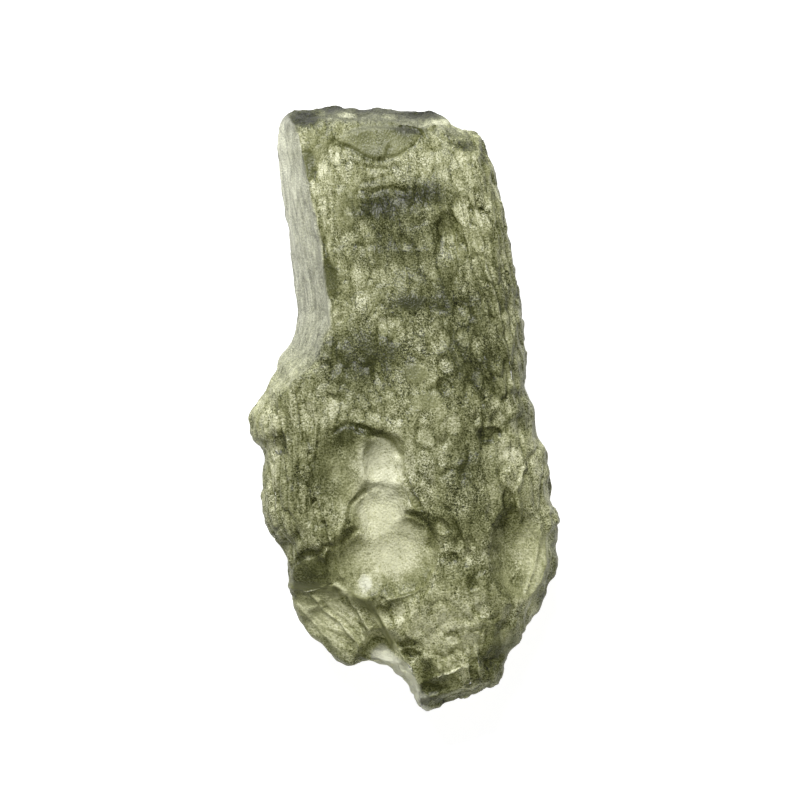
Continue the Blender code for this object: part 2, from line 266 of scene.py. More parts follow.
# The small cells. Between the bowls the acid ate shallow cells with flat floors and thin rims, and the
# broken head and foot have small facets. All lean with the flow of the melted glass. Their floors are
# painted paler or darker as light and shade, partly as their own tone, and their rims are painted dark as
# shade.
CELLS = [
    # middle, then half widths across and along in px, then depth in mm, then how much paler the floor is
    # painted, in stops
    ((461, 157), (5, 9), 0.08, 0.6), ((468, 178), (3, 12), 0.05, 0.5), ((461, 211), (8, 13), 0.12, 0.5),
    ((476, 219), (5, 8), 0.1, 0.6), ((485, 200), (4, 9), 0.08, 0.5), ((486, 233), (4, 7), 0.06, 0.4),
    ((446, 233), (7, 11), 0.12, 0.3), ((488, 271), (4, 10), 0.06, 0.6), ((475, 268), (4, 10), 0.06, 0.4),
    ((496, 305), (3, 14), 0.05, 0.8), ((483, 305), (3, 8), 0.05, 0.5), ((505, 320), (3, 8), 0.05, 0.4),
    ((490, 331), (4, 7), 0.06, 0.4), ((515, 397), (3, 7), 0.05, 0.6), ((335, 154), (5, 11), 0.12, 0.8),
    ((347, 155), (4, 7), 0.08, 0.5), ((309, 166), (6, 14), 0.12, -1.1), ((323, 205), (4, 7), 0.05, 0.4),
    ((329, 228), (4, 16), 0.06, 0.6), ((358, 205), (4, 8), 0.05, 0.5), ((363, 228), (4, 10), 0.05, 0.5),
    ((354, 240), (3, 7), 0.05, 0.4), ((369, 248), (4, 9), 0.06, 0.5), ((386, 240), (4, 9), 0.05, 0.4),
    ((404, 245), (3, 8), 0.05, 0.6), ((393, 265), (3, 6), 0.05, 0.6), ((358, 278), (6, 14), 0.06, 0.5),
    ((379, 277), (6, 9), 0.08, 0.6), ((335, 262), (6, 7), 0.05, 0.4), ((331, 280), (6, 17), 0.15, -0.9),
    ((340, 315), (7, 8), 0.1, 0.6), ((362, 303), (5, 7), 0.06, 0.5), ((396, 331), (7, 13), 0.1, 0.7),
    ((383, 328), (4, 9), 0.06, 0.5), ((420, 325), (5, 10), 0.08, 0.7), ((436, 338), (10, 13), 0.15, 0.7),
    ((461, 315), (7, 9), 0.1, 0.6), ((464, 338), (6, 8), 0.08, 0.5), ((478, 349), (6, 10), 0.1, 0.6),
    ((445, 365), (6, 7), 0.1, 0.6), ((468, 371), (5, 7), 0.06, 0.3), ((444, 386), (7, 7), 0.15, -0.8),
    ((468, 388), (4, 7), 0.05, 0.4), ((488, 385), (4, 6), 0.05, 0.4), ((493, 403), (5, 6), 0.05, 0.5),
    ((507, 405), (4, 8), 0.05, 0.4), ((452, 423), (8, 9), 0.08, 0.6), ((490, 434), (10, 6), 0.22, -1.1),
    ((515, 428), (8, 8), 0.1, 0.6), ((378, 365), (3, 6), 0.04, 0.6), ((332, 405), (7, 9), 0.06, 0.4),
    ((357, 415), (7, 7), 0.08, 0.5), ((382, 412), (7, 7), 0.06, 0.3), ((512, 455), (8, 8), 0.08, 0.7),
    ((508, 503), (5, 12), 0.25, -0.9), ((441, 458), (4, 6), 0.05, 0.5), ((441, 525), (5, 7), 0.08, 0.7),
    ((452, 545), (7, 5), 0.06, 0.5), ((490, 553), (8, 6), 0.06, 0.5), ((449, 556), (8, 5), 0.12, -0.8),
    ((471, 582), (5, 6), 0.1, -0.7), ((517, 580), (5, 4), 0.1, -0.5), ((501, 535), (3, 8), 0.05, 0.7),
    ((451, 637), (6, 5), 0.1, 0.5), ((325, 497), (3, 3), 0.05, 0.7), ((281, 444), (5, 6), 0.25, -0.8),
    ((301, 472), (5, 7), 0.05, -0.4), ((286, 460), (4, 8), 0.05, 0.4), ((406, 642), (10, 3), 0.2, -1.3),
    ((413, 651), (12, 3), 0.2, -1.1), ((422, 670), (8, 10), 0.15, -1.0), ((434, 664), (6, 7), 0.1, -0.6),
    ((430, 687), (11, 5), 0.15, -1.1), ((449, 682), (9, 6), 0.1, -0.7), ((432, 702), (13, 4), 0.2, -1.5),
    ((473, 672), (3, 14), 0.1, -0.7), ((466, 672), (4, 10), 0.04, 0.6), ((491, 657), (10, 12), 0.1, -0.8),
    ((500, 624), (7, 4), 0.15, -0.9), ((505, 634), (6, 9), 0.05, 0.7), ((304, 119), (11, 6), 0.25, -2.0),
    ((332, 107), (12, 3), 0.2, -1.6), ((366, 109), (8, 3), 0.2, -1.2), ((348, 116), (10, 3), 0.1, 0.5),
    ((318, 113), (8, 4), 0.1, 0.8), ((390, 117), (8, 3), 0.1, 0.8), ((424, 114), (12, 3), 0.2, -1.0),
    ((441, 122), (9, 3), 0.1, 0.5), ((409, 131), (13, 4), 0.12, -1.2), ((453, 133), (5, 6), 0.15, -0.8),
    ((464, 146), (6, 4), 0.15, -1.0), ((484, 148), (4, 8), 0.15, -0.8), ((363, 655), (5, 6), 0.1, -1.0),
    ((379, 645), (9, 4), 0.1, -0.7), ((350, 647), (3, 5), 0.05, -0.5),
]
# in parts of a cell's half widths: where its wall starts and ends, its unevenness, and its rim of painted
# shade
CELL_WALL = (1.25, 0.85)
CELL_UNEVENNESS = 0.35
CELL_UNEVEN_PX = 7.0
CELL_RIM = 0.2
CELL_RIM_PAINTED_SHADE = 0.45
# how far the flow leans to the right for each step down, more on the right and less below the waist,
# and the net of random slopes and its size, from which all the waves are made
FLOW_LEAN = 0.17
FLOW_FAN = 0.0008
FLOW_MIDDLE_PX = 410
WAIST_PX = 400
LEAN_BELOW_WAIST = 0.5
LATTICE_SIDE = 32
chance = np.random.default_rng(11)
LATTICE = chance.normal(size=(LATTICE_SIDE, LATTICE_SIDE, LATTICE_SIDE, 3))
LATTICE /= np.linalg.norm(LATTICE, axis=3, keepdims=True)


def waves(places, start=0.0):
    """Smooth uneven waves of about -0.6 to 0.6, one to each unit. Another start gives other waves."""
    places = places + start
    cell = np.floor(places).astype(int)
    part = places - cell
    ease = part * part * part * (part * (part * 6.0 - 15.0) + 10.0)
    height = np.zeros(len(places))
    for corner in itertools.product((0, 1), repeat=3):
        index = (cell + corner) % LATTICE_SIDE
        slope = LATTICE[index[:, 0], index[:, 1], index[:, 2]]
        share = np.prod(np.where(corner, ease, 1.0 - ease), axis=1)
        height += share * np.sum(slope * (part - corner), axis=1)
    return height


def picture_waves(size_px):
    """Waves of one size over the picture, the same all through the stone."""
    return waves(np.stack([across, down, np.zeros(len(points))], axis=1) / size_px)


def thin_line(off, half):
    """1 on a thin line, fading evenly away."""
    return np.exp(-((off / half) ** 2))


def flow_lean(across):
    """How far the flow leans to the right for each step down, above the waist."""
    return FLOW_LEAN + FLOW_FAN * (across - FLOW_MIDDLE_PX)


def carve_cells():
    """Sinks the cells and returns how much paler they are painted, with painted shade on their rims, in
    stops.
    """
    uneven = CELL_UNEVENNESS * picture_waves(CELL_UNEVEN_PX)
    paler = np.zeros(len(points))
    for (middle_x, middle_y), (wide, long), depth, stops in CELLS:
        along = down - middle_y
        lean = flow_lean(middle_x) * (1.0 if middle_y < WAIST_PX else LEAN_BELOW_WAIST)
        side = across - middle_x - lean * along
        out = np.hypot(side / wide, along / long) + uneven
        floor = smooth_step(out, *CELL_WALL) * upper
        rim = thin_line(out - CELL_WALL[0], CELL_RIM) * upper
        points[:, 2] -= depth * floor * MM
        paler += stops * floor - CELL_RIM_PAINTED_SHADE * rim
    return paler


# the cells' painted light and shade in stops, with painted shade on their rims
cell_tone_light_and_shade = carve_cells()

# The ridges and grooves. Streaks of glass that etched slower stand up as thin ridges, faster ones
# sank as grooves, and the broken faces meet in sharp crests. By their height, the ridges get a painted
# highlight and the grooves painted shade.
STREAKS = [
    # height in mm, which also sets the painted highlight on ridges and painted shade in grooves, half width
    # in px, then the line in px
    (0.15, 1.8, ((469, 259), (474, 275), (480, 290), (485, 302), (488, 322))),
    (0.15, 1.8, ((483, 252), (487, 273), (492, 290), (498, 305), (501, 323))),
    (0.2, 2.0, ((503, 342), (508, 358), (511, 372), (513, 385))),
    (0.12, 1.5, ((296, 391), (299, 405), (303, 440))),
    (-0.12, 1.5, ((300, 391), (304, 410), (306, 440))),
    (0.12, 1.5, ((311, 397), (316, 420), (318, 440))),
    (0.12, 1.8, ((272, 455), (274, 510), (280, 538))),
    (0.12, 1.5, ((283, 455), (288, 480))),
    (-0.15, 1.8, ((310, 453), (316, 475), (318, 490))),
    (-0.15, 1.5, ((315, 500), (322, 520), (326, 540))),
    (0.12, 1.5, ((319, 500), (327, 522), (331, 540))),
    (-0.15, 2.5, ((273, 404), (281, 422), (284, 437))),
    (0.12, 1.5, ((277, 410), (286, 437))),
    (0.12, 1.5, ((262, 408), (264, 440))),
    (-0.15, 2.0, ((449, 195), (450, 215), (455, 232), (463, 250), (470, 268))),
    (-0.15, 1.8, ((462, 195), (470, 212), (473, 235), (480, 250))),
    (-0.12, 1.8, ((438, 225), (441, 243), (449, 248))),
    (-0.12, 1.5, ((470, 210), (480, 212))),
    (-0.12, 1.8, ((478, 205), (485, 222), (492, 240))),
    (-0.12, 1.5, ((503, 250), (508, 268), (512, 285), (518, 310))),
    (-0.12, 1.5, ((500, 271), (507, 268))),
    (-0.15, 2.0, ((360, 193), (370, 196), (380, 192), (392, 190), (403, 193))),
    (-0.12, 1.5, ((362, 185), (375, 182), (389, 177))),
    (-0.15, 1.8, ((342, 147), (350, 150), (358, 154), (365, 159), (376, 163), (386, 162), (389, 150))),
    (-0.1, 1.8, ((390, 160), (398, 158), (406, 153), (416, 146), (420, 138))),
    (0.25, 2.0, ((508, 470), (517, 488), (520, 520))),
    (0.2, 2.5, ((524, 468), (520, 480), (516, 489))),
    (0.2, 2.0, ((541, 523), (538, 545), (533, 568), (526, 590))),
    (0.15, 2.0, ((549, 508), (551, 530), (548, 556), (541, 584))),
    (0.2, 1.8, ((456, 518), (461, 530), (465, 540), (469, 548))),
    (-0.12, 1.8, ((452, 518), (457, 530), (462, 540))),
    (-0.2, 2.2, ((366, 491), (358, 497), (352, 503), (350, 512), (351, 522))),
    (-0.3, 3.5, ((360, 429), (372, 434), (384, 435), (393, 442), (399, 453))),
    (-0.15, 2.0, ((335, 432), (343, 426), (350, 423), (362, 427), (372, 430))),
    (-0.3, 3.5, ((408, 512), (418, 514), (427, 521), (431, 532), (430, 545))),
    (-0.3, 3.5, ((343, 540), (349, 533), (356, 529))),
    (-0.2, 1.8, ((404, 475), (408, 490), (414, 500), (420, 508))),
    (0.15, 1.8, ((409, 478), (413, 488), (420, 500))),
    (0.15, 1.8, ((386, 599), (400, 595), (412, 591), (422, 586), (430, 576), (436, 562))),
    (-0.25, 2.5, ((296, 562), (306, 554), (322, 551), (327, 545), (335, 545))),
    (0.18, 2.2, ((313, 595), (318, 600), (325, 610), (338, 619), (353, 636), (361, 648))),
    (-0.15, 1.8, ((322, 602), (331, 612), (345, 621), (356, 634), (364, 646))),
    (0.25, 2.5, ((335, 583), (345, 590), (352, 602), (360, 613), (370, 630))),
    (-0.12, 1.8, ((338, 591), (348, 603), (358, 617))),
    (0.12, 1.8, ((289, 586), (300, 597), (310, 610), (320, 622), (332, 634), (345, 650))),
    (-0.12, 1.8, ((296, 592), (312, 612), (325, 625), (340, 643))),
    (0.12, 1.8, ((296, 603), (310, 618), (325, 635), (345, 655))),
    (0.2, 2.0, ((375, 604), (382, 618), (389, 630), (396, 643))),
    (-0.15, 1.8, ((378, 615), (385, 630), (392, 640))),
    (0.35, 3.0, ((396, 644), (412, 669), (418, 686), (421, 706))),
    (0.2, 2.5, ((415, 645), (432, 658), (444, 672))),
    (0.25, 2.0, ((430, 677), (443, 675), (452, 671), (462, 666))),
    (0.2, 1.8, ((461, 664), (464, 688))),
    (0.2, 1.8, ((468, 662), (471, 688))),
    (0.15, 1.5, ((478, 656), (480, 682))),
    (-0.15, 1.5, ((446, 634), (451, 631), (456, 635))),
    (0.2, 2.5, ((308, 359), (285, 378), (260, 404))),
    (-0.4, 2.5, ((467, 134), (475, 147))),
    (-0.2, 2.0, ((436, 128), (452, 142), (462, 150), (470, 152), (476, 149))),
    (-0.15, 2.0, ((482, 141), (484, 155), (489, 170), (496, 184))),
    (-0.12, 2.2, ((309, 205), (314, 235), (319, 262), (323, 290))),
    (-0.08, 1.4, ((290, 195), (298, 250), (303, 290), (306, 325))),
    (0.08, 1.4, ((295, 190), (303, 240), (309, 290), (312, 320))),
    (0.12, 2.0, ((299, 138), (306, 170), (311, 203), (320, 235), (327, 290), (330, 325), (322, 347))),
]
# how far the skin leans away from level on a lip, from where to where it counts; the lips get painted shade
LIP_SLOPE = (0.06, 0.4)


def line_distance(line):
    """How far each point lies from a line in the picture, in px."""
    nearest = np.full(len(points), np.inf)
    for (start_x, start_y), (end_x, end_y) in zip(line, line[1:]):
        run_x, run_y = end_x - start_x, end_y - start_y
        share = ((across - start_x) * run_x + (down - start_y) * run_y) / (run_x ** 2 + run_y ** 2)
        share = np.clip(share, 0.0, 1.0)
        off = np.hypot(across - start_x - share * run_x, down - start_y - share * run_y)
        nearest = np.minimum(nearest, off)
    return nearest


def raise_streaks():
    """Raises the ridges, sinks the grooves and returns their heights in mm."""
    height = np.zeros(len(points))
    for tall, half, line in STREAKS:
        height += tall * thin_line(line_distance(line), half)
    height[~upper] = 0.0
    points[:, 2] += height * MM
    return height


streaks = raise_streaks()
write_points(stone.data, points)
# the lips of the hollows, which are painted darker as shade further on
lips = smooth_step(1.0 - read_vertices(stone.data, "normal")[:, 2], *LIP_SLOPE) * upper

# The long fracture and the flap. Where the stone broke, down the left of the neck and at the lower
# left, the skin is younger and less etched, and on the flap the flow of the glass runs aslant.
BREAK_RIDGE_PX = [
    (290, 117), (296, 127), (299, 138), (303, 153), (306, 170), (311, 203), (320, 235), (325, 265),
    (327, 290), (330, 305), (330, 325), (323, 337), (322, 347), (318, 359), (309, 370), (262, 406),
]
# the long fracture sets in left of its ridge and fades out at the shoulder, and the head is broken
# off nearly straight: how much it counts, and from where to where down the picture
BREAK_EDGE_PX = (-1.0, 2.5)
BREAK_END_PX = (412, 340)
HEAD_BREAK = (0.8, 128, 120)
FLAP_CREST_PX = [(285, 584), (322, 586), (350, 590), (372, 606), (385, 628), (393, 645)]
FLAP_TURN = np.radians(45)
# the flow's drift to the right is counted from here down
FLOW_START_PX = 100


def long_fracture():
    """1 on the long fracture down the left of the neck, which fades out at the shoulder."""
    ridge_across, ridge_down = np.transpose(BREAK_RIDGE_PX)
    ridge = np.interp(down, ridge_down, ridge_across)
    return smooth_step(ridge - across, *BREAK_EDGE_PX) * smooth_step(down, *BREAK_END_PX)


def flow_places():
    """The stone's points across and along the flow of the melt, in millimetres."""
    lean = flow_lean(across)
    above = np.minimum(down, WAIST_PX) - FLOW_START_PX
    below = np.maximum(down - WAIST_PX, 0)
    drift = lean * above + LEAN_BELOW_WAIST * lean * below
    flow = np.stack([(across - drift) * PX / MM, down * PX / MM, points[:, 2] / MM], axis=1)
    cosine, sine = np.cos(FLAP_TURN), np.sin(FLAP_TURN)
    oblique = flow @ np.array([[cosine, sine, 0], [-sine, cosine, 0], [0, 0, 1]])
    on_flap = (down > np.interp(across, *np.transpose(FLAP_CREST_PX))) & (across < FLAP_CREST_PX[-1][0])
    return np.where(on_flap[:, None], oblique, flow)


broken = np.maximum(long_fracture(), ramp(down, HEAD_BREAK))
flow = flow_places()

# The etched grain. Between the hollows the skin is covered in small pits, and in thin creases that
# follow the flow. Both are random, of the right size and direction, and calmer where it is smooth.
# The pits are painted paler, as light through the thinner glass, and the creases darker, as shade.
SMOOTH_PATCHES = [
    # middle, then half widths to the left, right, head and foot in px, then how smooth
    ((378, 142), (36, 38, 20, 20), 0.7),
    ((415, 374), (11, 11, 10, 10), 0.7),
    ((426, 402), (15, 14, 10, 10), 0.6),
    ((411, 304), (13, 13, 7, 9), 0.7),
    ((309, 166), (6, 6, 16, 17), 0.7),
    ((325, 625), (50, 30, 30, 40), 0.3),
    ((346, 212), (13, 13, 24, 24), 0.35),
    ((316, 144), (13, 15, 16, 18), 0.35),
    ((331, 279), (8, 8, 18, 18), 0.7),
]
SMOOTH_EDGE = (1.15, 0.75)
# the grain also fades out this near the crest of the flap
CREST_CALM_PX = (1.0, 7.0)
STREAKY_AREAS = [
    # where the thin creases are many: middle, then the four half widths in px
    ((490, 300), (34, 30, 170, 130)),
    ((322, 220), (20, 22, 90, 80)),
    ((295, 480), (36, 42, 90, 90)),
    ((470, 660), (24, 40, 60, 40)),
    ((380, 610), (16, 16, 20, 30)),
]
STREAKY_EDGE = (1.3, 0.7)
# how strong the thin creases are outside those areas, and what is added inside them
FEW_CREASES = 0.25
MORE_CREASES = 1.1
# the pits: how far they stray in their net, then for both kinds their radius in parts of the net, the
# net across the flow, along it and up in mm, their depth in mm, and how much painted light they get
PIT_SCATTER = 0.85
PIT_RADIUS = 0.65
PIT_NET = (0.9, 2.1, 1.2)
PIT_DEPTH = 0.22
PIT_PAINTED_LIGHT = 0.7
SMALL_PIT_RADIUS = 0.6
SMALL_PIT_NET = (0.5, 1.1, 0.6)
SMALL_PIT_DEPTH = 0.13
SMALL_PIT_PAINTED_LIGHT = 0.4
# the creases lie where waves cross zero: the size of the waves in mm, how high they are at the edge
# of a crease, the depth of the creases in mm, and how much painted shade they get
WIDE_CREASE_SIZE = (0.8, 2.2, 1.2)
WIDE_CREASE_EDGE = 0.08
WIDE_CREASE_PAINTED_SHADE = 0.6
THIN_CREASE_SIZE = (0.45, 4.0, 0.8)
THIN_CREASE_EDGE = 0.1
THIN_CREASE_PAINTED_SHADE = 0.65
CREASE_DEPTH = 0.1
# the pits and creases of mean strength, which leave the shade as it is
MEAN_PIT = 0.2
MEAN_CREASE = 0.3
# how far the stirring of the melt bends the pits and the creases, and its size, in mm
STIR_SIZE = 2.1
PIT_BEND = 0.45
CREASE_BEND = 0.12
# soft rolls and ripples of the skin, their sizes and heights in mm
ROLL_SIZE = (3.0, 5.0, 3.0)
ROLL_HEIGHT = 0.2
RIPPLE_SIZE = (0.7, 1.1, 0.8)
RIPPLE_HEIGHT = 0.1
FLANK_RIPPLE_SIZE = (0.55, 0.8, 0.6)
FLANK_RIPPLE_HEIGHT = 0.16
# what the bowls and the breaks take away from the pits, the creases and the shade of both
PITS_LOST_IN_BOWLS = 0.5
PITS_LOST_ON_BREAKS = 0.7
CREASES_LOST_IN_BOWLS = 0.85
CREASES_LOST_ON_BREAKS = 0.5
SHADE_LOST_ON_BREAKS = 0.5
SCATTER = chance.random(size=(LATTICE_SIDE, LATTICE_SIDE, LATTICE_SIDE, 4))


def smooth_area():
    """How smooth the glass is, from 0 to 1."""
    area = np.zeros(len(points))
    for middle, halves, share in SMOOTH_PATCHES:
        area = np.maximum(area, share * smooth_step(reach(middle, halves), *SMOOTH_EDGE))
    return area * upper


def streaky_area():
    """1 where the thin creases are many."""
    area = np.zeros(len(points))
    for middle, halves in STREAKY_AREAS:
        area = np.maximum(area, smooth_step(reach(middle, halves), *STREAKY_EDGE))
    return area


def pits(places, radius, start=0.0):
    """Round cups of depth 0 to 1, one to each unit. Another start gives other cups."""
    places = places + start
    cell = np.floor(places).astype(int)
    nearest = np.full(len(places), np.inf)
    strength = np.zeros(len(places))
    for corner in itertools.product((-1, 0, 1), repeat=3):
        index = cell + corner
        spread = SCATTER[tuple((index % LATTICE_SIDE).T)]
        off = index + 0.5 + (spread[:, :3] - 0.5) * PIT_SCATTER - places
        away = np.sqrt(np.sum(off * off, axis=1))
        closer = away < nearest
        nearest[closer] = away[closer]
        strength[closer] = spread[closer, 3]
    return np.clip(1.0 - (nearest / radius) ** 2, 0.0, 1.0) * strength


def etch():
    """Cuts the grain and returns the painted light in the pits and painted shade in the creases, in stops,
    and how grainy the skin is.
    """
    normals = read_vertices(stone.data, "normal")
    stir = np.stack([waves(flow / STIR_SIZE, start) for start in (0.0, 9.1, 4.4)], axis=1)
    bent = flow + PIT_BEND * stir
    broad = pits(bent / PIT_NET, PIT_RADIUS)
    small = pits(bent / SMALL_PIT_NET, SMALL_PIT_RADIUS, 5.0)
    wandering = flow + CREASE_BEND * stir
    wide = thin_line(waves(wandering / WIDE_CREASE_SIZE, 3.0), WIDE_CREASE_EDGE)
    thin = thin_line(waves(wandering / THIN_CREASE_SIZE, 7.0), THIN_CREASE_EDGE)
    streaky = FEW_CREASES + MORE_CREASES * streaky_area()
    calm = (1.0 - smooth_area()) * smooth_step(line_distance(FLAP_CREST_PX), *CREST_CALM_PX)
    relief = -PIT_DEPTH * broad - SMALL_PIT_DEPTH * small
    relief *= 1.0 - PITS_LOST_IN_BOWLS * bowls
    relief *= 1.0 - PITS_LOST_ON_BREAKS * broken
    creases = CREASE_DEPTH * wide + CREASE_DEPTH * thin * streaky
    relief -= creases * (1.0 - CREASES_LOST_IN_BOWLS * bowls) * (1.0 - CREASES_LOST_ON_BREAKS * broken)
    relief += ROLL_HEIGHT * waves(flow / ROLL_SIZE) + RIPPLE_HEIGHT * waves(flow / RIPPLE_SIZE, 2.0)
    relief *= calm
    relief += FLANK_RIPPLE_HEIGHT * waves(flow / FLANK_RIPPLE_SIZE, 6.0) * flank * (1.0 - broken)
    relief[flat_spot] = 0.0
    points[:] += normals * (relief * MM)[:, None]
    points[:, 2] = np.maximum(points[:, 2], 0.0)
    write_points(stone.data, points)
    pit_light = PIT_PAINTED_LIGHT * (broad - MEAN_PIT) + SMALL_PIT_PAINTED_LIGHT * (small - MEAN_PIT)
    crease_shade = WIDE_CREASE_PAINTED_SHADE * (wide - MEAN_CREASE) + THIN_CREASE_PAINTED_SHADE * streaky * (thin - MEAN_CREASE)
    return (pit_light - crease_shade * (1.0 - bowls)) * calm * (1.0 - SHADE_LOST_ON_BREAKS * broken), calm


# the painted light of the pits and painted shade of the creases, in stops, and how calm the grain is
pit_light_crease_shade, calm = etch()

# The painted tone, light and shade. Listed spots paint the glass paler where light comes through thin
# glass and where the skin is etched milky, with painted light on the bowls' floors, and darker where it
# is thick and clear, with painted shade on the bowls' upper rims. Steep walls and the lips of the
# hollows get painted shade too. The broken faces down the left of the neck and round the head are frosted.
PAINTED_TONE_LIGHT_AND_SHADE = [
    # middle in px, half widths across and along in px, then how much paler, in stops
    ((347, 115), (9, 4), 1.8), ((380, 116), (14, 3), 1.2), ((440, 122), (12, 4), 1.3),
    ((409, 112), (8, 4), -1.0), ((302, 120), (12, 8), -1.0), ((462, 146), (8, 8), -0.8),
    ((484, 160), (4, 14), -0.8), ((328, 210), (18, 60), 0.5), ((415, 163), (26, 11), 0.5),
    ((460, 165), (20, 16), 0.4), ((475, 225), (22, 32), 0.7), ((356, 285), (8, 20), 0.5),
    ((380, 277), (10, 12), 0.4), ((415, 371), (15, 14), 0.15), ((424, 404), (30, 20), 0.2),
    ((452, 420), (13, 12), 0.5), ((305, 405), (40, 18), 0.15), ((510, 350), (9, 60), 0.4),
    ((510, 447), (16, 14), 1.0), ((514, 482), (12, 18), 0.9), ((383, 460), (20, 26), 4.8),
    ((348, 478), (18, 30), 0.3), ((380, 508), (22, 24), 3.2), ((394, 545), (27, 31), 4.2),
    ((352, 572), (24, 22), 0.5), ((366, 581), (6, 7), 3.0), ((404, 584), (32, 12), -1.3),
    ((424, 470), (16, 30), 0.3), ((529, 548), (17, 32), 0.9), ((538, 570), (8, 14), 0.7),
    ((338, 618), (44, 32), 1.15), ((450, 630), (22, 44), 1.0), ((405, 620), (24, 20), 0.5),
    ((465, 672), (10, 12), 0.5), ((288, 150), (18, 60), 0.2), ((274, 480), (12, 50), 0.4),
    ((270, 425), (18, 22), 0.6), ((536, 470), (12, 50), 0.7), ((525, 605), (16, 16), 0.9),
    ((420, 625), (20, 24), 0.5), ((390, 664), (12, 12), 4.0), ((410, 688), (10, 16), 4.0),
    ((346, 438), (16, 10), -1.3), ((305, 118), (14, 9), -3.5), ((380, 208), (22, 12), -2.9),
    ((420, 196), (26, 11), -2.6), ((415, 230), (36, 18), -0.6), ((380, 245), (24, 24), -0.5),
    ((440, 300), (22, 26), -0.7), ((406, 304), (18, 8), -1.9), ((440, 305), (22, 8), -0.8),
    ((470, 305), (26, 34), -0.5), ((285, 485), (16, 34), -0.4), ((405, 257), (40, 34), -0.7),
    ((333, 250), (13, 48), -0.4), ((470, 600), (34, 40), 0.4), ((465, 632), (28, 22), 0.5),
    ((452, 345), (34, 40), -0.35), ((362, 360), (44, 27), -2.0), ((396, 352), (12, 12), -0.6),
    ((476, 364), (27, 44), -1.2), ((345, 427), (14, 6), -0.9), ((374, 432), (16, 7), -1.4),
    ((466, 462), (20, 28), -1.3), ((320, 476), (20, 34), -0.6), ((352, 520), (7, 14), -0.9),
    ((419, 518), (17, 10), -1.8), ((502, 521), (13, 9), -1.6), ((460, 518), (20, 28), -0.5),
    ((318, 571), (26, 15), -1.4), ((474, 577), (30, 16), -0.6), ((540, 600), (8, 7), -1.0),
    ((428, 690), (18, 14), -1.0), ((490, 660), (12, 20), -0.8), ((409, 131), (14, 6), -1.0),
    ((430, 566), (10, 14), -0.6), ((335, 108), (14, 4), -1.2), ((430, 112), (16, 5), -2.0),
    ((376, 158), (16, 6), -0.6), ((380, 112), (90, 9), -2.7), ((372, 588), (20, 10), -0.8),
    ((380, 140), (44, 18), -0.5), ((551, 575), (7, 24), -0.7),
]
# the long fracture is frosted less towards the shoulder: how much, and from where to where in px
FRACTURE_FADE = (0.6, 260, 390)
# the broken head is frosted where it faces the head end: how much, from where to where in its
# normal, and in which part of the picture
HEAD_FROST = (0.35, 0.35, 0.7)
HEAD_FROST_DOWN_PX = (140, 128)
HEAD_FROST_ACROSS_PX = (315, 330)
# the fresh white bite in the foot, along a line, with a ragged edge
BITE_PX = ((382, 655), (396, 668), (405, 680), (411, 694), (419, 705))
BITE_EDGE_PX = (13, 10)
BITE_RAGGED_PX = 9.0
BITE_RAGGED_SIZE = 1.3 * MM
# the right rim is frosted where it faces right: how much, from where to where in its normal, and
# below what height
RIM_FROST = (0.5, 0.75, 0.95)
RIM_FROST_HEIGHT = (5.2 * MM, 4.2 * MM)
# the white chip in the lowest bowl: how much, and from where to where in parts of its half widths
CHIP_OVAL_PX = ((366, 581), (7, 6, 8, 8))
CHIP_FROST = (0.9, 1.1, 0.8)
CHIP_UNEVENNESS = 0.7
CHIP_UNEVEN_PX = 3.0
# the shade of plain skin, and how many stops each mark on it is worth: painted light in the pits and
# painted shade in the creases, a painted highlight on the ridges and painted shade in the grooves, and
# painted shade on steep walls and on the lips of the hollows
PLAIN_SHADE = 0.5
PIT_LIGHT_CREASE_SHADE_STOPS = 1.1
STREAK_HIGHLIGHT_AND_SHADE = 2.5
STEEP_SLOPE = (0.1, 0.6)
STEEP_PAINTED_SHADE = 0.5
LIP_PAINTED_SHADE = 0.6
# what the frost and the bowls take away from the grain in the glass
GRAIN_LOST_IN_FROST = 0.3
GRAIN_LOST_IN_BOWLS = 0.4
# the share of the faces that stays in the finished skin
KEPT_FACES = 0.66


def painted_tone_light_and_shade():
    """How much paler each point is painted by the listed spots, in stops, partly as the glass's own tone and
    partly as light and shade.
    """
    stops = np.zeros(len(points))
    for middle, halves, paler in PAINTED_TONE_LIGHT_AND_SHADE:
        stops += paler * soft_spot(middle, halves)
    return stops


def frosting():
    """How white and matt the skin is: the long fracture, broken head, bite, right rim and chip."""
    normals = read_vertices(stone.data, "normal")
    fracture = long_fracture() * (1.0 - ramp(down, FRACTURE_FADE))
    head = ramp(normals[:, 1], HEAD_FROST) * smooth_step(down, *HEAD_FROST_DOWN_PX)
    head *= smooth_step(across, *HEAD_FROST_ACROSS_PX)
    ragged = BITE_RAGGED_PX * waves(points / BITE_RAGGED_SIZE, 8.0)
    bite = smooth_step(line_distance(BITE_PX) + ragged, *BITE_EDGE_PX)
    rim = ramp(normals[:, 0], RIM_FROST) * smooth_step(points[:, 2], *RIM_FROST_HEIGHT)
    uneven = CHIP_UNEVENNESS * picture_waves(CHIP_UNEVEN_PX)
    chip = ramp(reach(*CHIP_OVAL_PX) + uneven, CHIP_FROST)
    return np.max([fracture, head, bite, rim, chip], axis=0)


def write_layer(name, values):
    """Keeps a number for each point in the mesh, for the glass to read."""
    stone.data.attributes.new(name, "FLOAT", "POINT").data.foreach_set("value", values)


frost = frosting()
# painted shade: steep walls and the lips of the hollows are painted darker, but not on frost or on the flanks
steep = smooth_step(1.0 - np.abs(read_vertices(stone.data, "normal")[:, 2]), *STEEP_SLOPE)
painted_shade = (STEEP_PAINTED_SHADE * steep + LIP_PAINTED_SHADE * lips) * (1.0 - frost) * (1.0 - flank)
